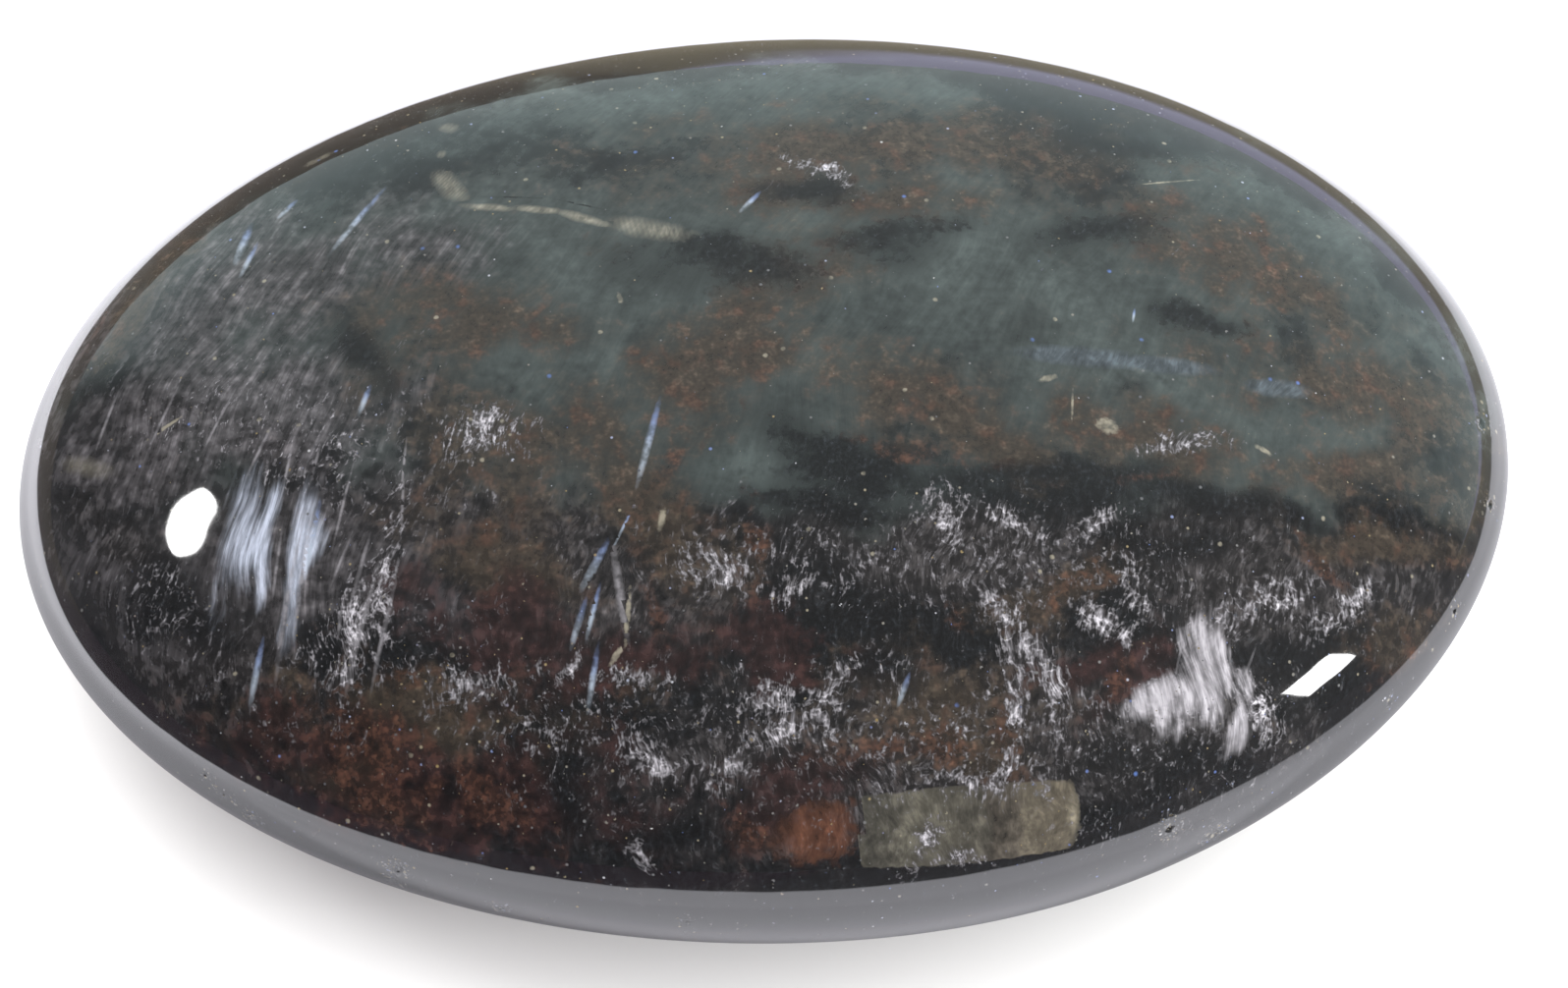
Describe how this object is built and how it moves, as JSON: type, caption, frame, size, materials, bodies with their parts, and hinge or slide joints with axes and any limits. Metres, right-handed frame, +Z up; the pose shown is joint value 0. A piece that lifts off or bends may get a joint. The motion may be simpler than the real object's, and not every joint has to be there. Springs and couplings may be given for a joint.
{
  "type": "polished arfvedsonite palm stone",
  "caption": "Flattened oval pebble of dark polished mineral, shaped to lie in the palm and to rest on a small flat underside.",
  "frame": {"origin": "on the ground resting flat, under the middle of the stone's box", "axes": "+X along the stone's long axis, +Y across it, away from the pictured side, +Z up from the resting flat"},
  "size_m": [0.0646, 0.0448, 0.0199],
  "materials": {
    "palm_stone": "polished to a high gloss"
  },
  "bodies": {
    "root": {"palm_stone": "palm_stone"}
  },
  "joints": []
}
